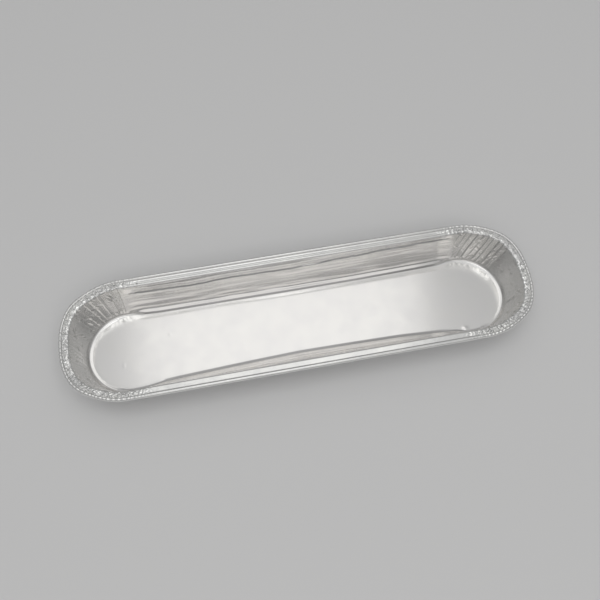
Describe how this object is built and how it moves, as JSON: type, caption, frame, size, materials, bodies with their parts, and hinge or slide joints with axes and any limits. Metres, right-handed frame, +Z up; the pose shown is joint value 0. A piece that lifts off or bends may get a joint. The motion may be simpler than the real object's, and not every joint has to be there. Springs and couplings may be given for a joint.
{
  "type": "foil loaf pan",
  "caption": "Long, narrow, shallow foil baking pan with straight sides, pleated half-round ends and a flat flange with a rolled edge.",
  "frame": {"origin": "middle of the base's underside, half way between the outermost points of the rim", "axes": "+X along the pan towards the right end, +Y across it towards the rear wall, +Z up"},
  "size_m": [0.28, 0.075, 0.025],
  "materials": {
    "smooth_foil": "bare aluminium foil with a soft, bright, rolled surface",
    "gathered_foil": "bare aluminium foil, gathered into fine upright pleats",
    "rolled_foil": "bare aluminium foil, pressed and rolled bright at the rim"
  },
  "bodies": {
    "root": {"base_panel": "smooth_foil", "base_bend": "smooth_foil", "front_wall": "smooth_foil", "rear_wall": "smooth_foil", "left_end_wall": "gathered_foil", "right_end_wall": "gathered_foil", "rim_flange": "rolled_foil", "rolled_bead": "rolled_foil"}
  },
  "joints": []
}
